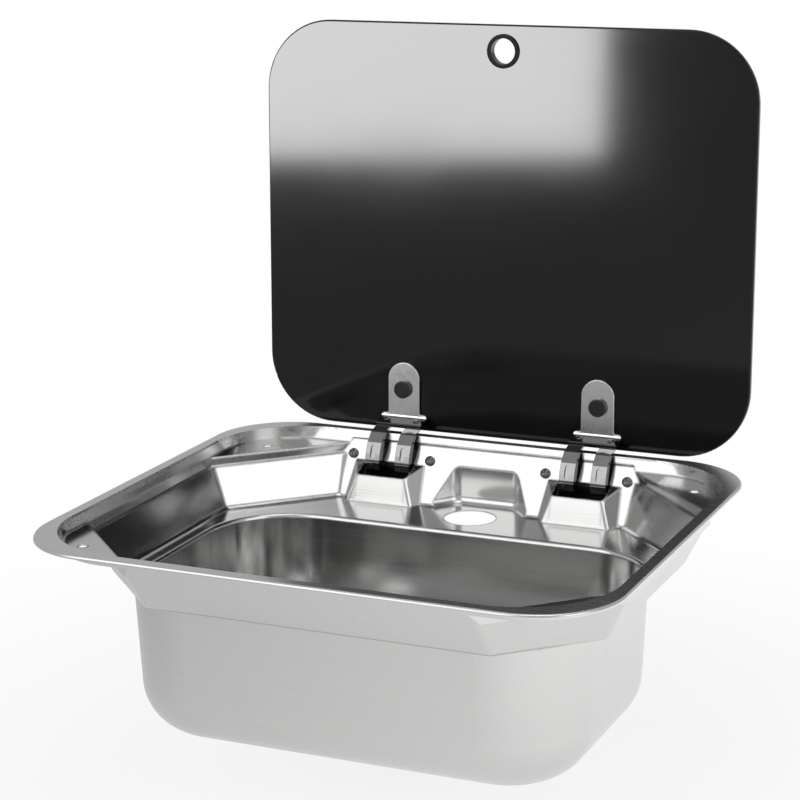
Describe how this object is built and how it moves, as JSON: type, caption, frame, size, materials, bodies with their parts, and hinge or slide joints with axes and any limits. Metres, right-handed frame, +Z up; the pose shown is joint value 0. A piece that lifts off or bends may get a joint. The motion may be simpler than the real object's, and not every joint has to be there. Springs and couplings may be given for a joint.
{
  "type": "kitchen sink",
  "caption": "Built-in stainless caravan sink with a deep rounded bowl, an eight-sided well, a bare tap hole and a black glass lid standing open on goose-neck hinges.",
  "frame": {"origin": "centre of the rim's outline, in the plane of the worktop that the rim rests on", "axes": "+X to the user's right, +Y away from the user towards the hinges, +Z up out of the worktop"},
  "size_m": [0.42, 0.3943, 0.5117],
  "materials": {
    "satin_steel": "satin pressed stainless sheet",
    "bright_steel": "bright steel",
    "black_steel": "black coated sheet",
    "black_glass": "gloss black toughened glass, opaque",
    "black_plastic": "fine satin",
    "grey_plastic": "moulded satin",
    "black_rubber": "matt"
  },
  "bodies": {
    "sink": {"sink_bowl": "satin_steel", "rim_seal": "black_rubber", "hinge_housing_left": "black_steel", "hinge_housing_right": "black_steel", "hinge_screws_left": "bright_steel", "hinge_screws_right": "bright_steel", "hinge_nuts_left": "bright_steel", "hinge_nuts_right": "bright_steel", "hinge_pin_left": "bright_steel", "hinge_pin_right": "bright_steel", "pin_clip_left": "bright_steel", "pin_clip_right": "bright_steel", "hinge_spacer_left": "bright_steel", "hinge_spacer_right": "bright_steel", "friction_washers_left": "bright_steel", "friction_washers_right": "bright_steel", "waste_flange": "bright_steel", "strainer": "bright_steel", "waste_gasket": "black_rubber", "waste_nut": "grey_plastic", "waste_outlet": "grey_plastic", "hose_tail": "grey_plastic"},
    "lid": {"glass_lid": "black_glass", "finger_ring_front": "bright_steel", "finger_ring_back": "bright_steel", "lid_bracket_left": "bright_steel", "lid_bracket_right": "bright_steel", "bracket_pads": "black_rubber", "bracket_rivets_left": "bright_steel", "bracket_rivets_right": "bright_steel", "lid_bolts": "bright_steel", "bolt_caps": "black_plastic", "rear_washers": "black_rubber", "lid_nuts": "bright_steel", "hinge_arm_left_outer": "bright_steel", "hinge_arm_left_inner": "bright_steel", "hinge_arm_right_inner": "bright_steel", "hinge_arm_right_outer": "bright_steel"},
    "plug": {"waste_plug": "black_rubber", "plug_knob": "bright_steel"}
  },
  "joints": [
    {"name": "lid_hinge", "type": "hinge", "parent": "sink", "child": "lid", "pos_m": [0, 0.1746, -0.02223], "axis": [1, 0, 0], "range_deg": [0, 91.58]},
    {"name": "plug_lift", "type": "slide", "parent": "sink", "child": "plug", "axis": [0, 0, 1], "range_m": [0, 0.06]}
  ]
}
